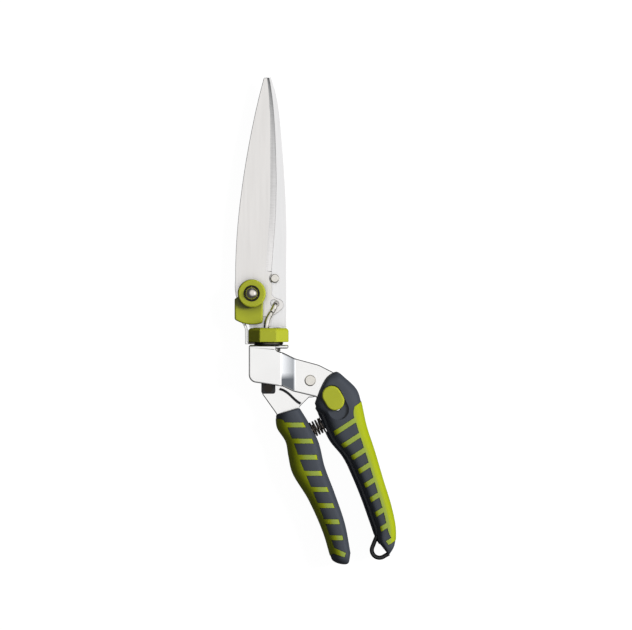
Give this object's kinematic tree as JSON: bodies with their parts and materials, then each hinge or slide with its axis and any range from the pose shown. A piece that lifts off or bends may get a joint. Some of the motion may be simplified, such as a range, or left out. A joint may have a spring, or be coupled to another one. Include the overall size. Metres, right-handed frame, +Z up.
{
  "type": "grass shears",
  "caption": "One-handed grass shears with two long blades on a swivelling head, a pull rod, two ribbed grips, a sliding lock and a hanging loop.",
  "frame": {"origin": "under the middle of the whole tool as it lies on its back", "axes": "+Y along the blades towards their tips, +Z up out of the table, +X towards the fixed grip"},
  "size_m": [0.1132, 0.342, 0.0283],
  "materials": {
    "blade_steel": "long fine grinding marks across a stainless blade",
    "plated_steel": "smooth bright plated sheet steel",
    "bright_hardware": "polished nuts, rivets and rod",
    "dark_plastic": "fine-textured anthracite moulding",
    "green_rubber": "soft satin lime-green overmoulding",
    "green_plastic": "satin lime-green moulding",
    "black_plastic": "plain black moulding",
    "spring_steel": "dark oiled spring wire",
    "dark_steel": "dark polished nuts and pins"
  },
  "bodies": {
    "frame": {"main_bracket": "plated_steel", "swivel_spindle": "bright_hardware", "spindle_ring": "bright_hardware", "swivel_washer": "black_plastic", "pivot_rivet": "bright_hardware", "lever_washers": "black_plastic", "right_grip": "dark_plastic", "right_grip_inlay": "green_rubber", "right_grip_pins": "bright_hardware", "right_spring_stud": "black_plastic", "hang_loop": "black_plastic", "return_spring": "spring_steel"},
    "squeeze_handle": {"lever_plate": "plated_steel", "left_grip": "dark_plastic", "left_grip_inlay": "green_rubber", "left_grip_pins": "bright_hardware", "left_spring_stud": "black_plastic"},
    "lock": {"lock_button_front": "green_plastic", "lock_button_back": "green_plastic", "lock_pin": "bright_hardware"},
    "head": {"head_bracket": "plated_steel", "swivel_collar": "green_plastic", "fixed_blade": "blade_steel", "blade_rivets": "blade_steel", "stop_stud": "bright_hardware", "pivot_bolt": "bright_hardware", "pivot_cover": "green_plastic", "pivot_knob": "green_plastic", "pivot_washer": "dark_steel", "pivot_nut": "dark_steel"},
    "upper_blade": {"moving_blade": "blade_steel"},
    "rod": {"pull_rod": "bright_hardware"},
    "clevis": {"rod_clevis": "black_plastic", "clevis_pin": "dark_steel"}
  },
  "joints": [
    {"name": "handle_squeeze", "type": "hinge", "parent": "frame", "child": "squeeze_handle", "pos_m": [-0.00368, -0.04181, 0.0141], "axis": [0, 0, -1], "range_deg": [0, 18], "deforming": ["return_spring"]},
    {"name": "head_swivel", "type": "hinge", "parent": "frame", "child": "head", "pos_m": [-0.03299, -0.01491, 0.0141], "axis": [0, 1, 0], "continuous": true},
    {"name": "blade_swing", "type": "hinge", "parent": "head", "child": "upper_blade", "pos_m": [-0.04448, 0.01909, 0.0141], "axis": [0, 0, 1], "range_deg": [0, 30.5]},
    {"name": "rod_rise", "type": "slide", "parent": "head", "child": "rod", "axis": [0, 1, 0], "range_m": [0, 0.00929]},
    {"name": "clevis_rise", "type": "slide", "parent": "frame", "child": "clevis", "axis": [0, 1, 0], "range_m": [0, 0.00929]},
    {"name": "lock_slide", "type": "slide", "parent": "frame", "child": "lock", "axis": [0.3976, -0.9176, 0], "range_m": [0, 0.00654]}
  ],
  "couplings": [
    {"joint": "blade_swing", "follows": "handle_squeeze", "ratio": 1.6944},
    {"joint": "rod_rise", "follows": "handle_squeeze", "m_per_rad": 0.029563},
    {"joint": "clevis_rise", "follows": "handle_squeeze", "m_per_rad": 0.029563}
  ]
}
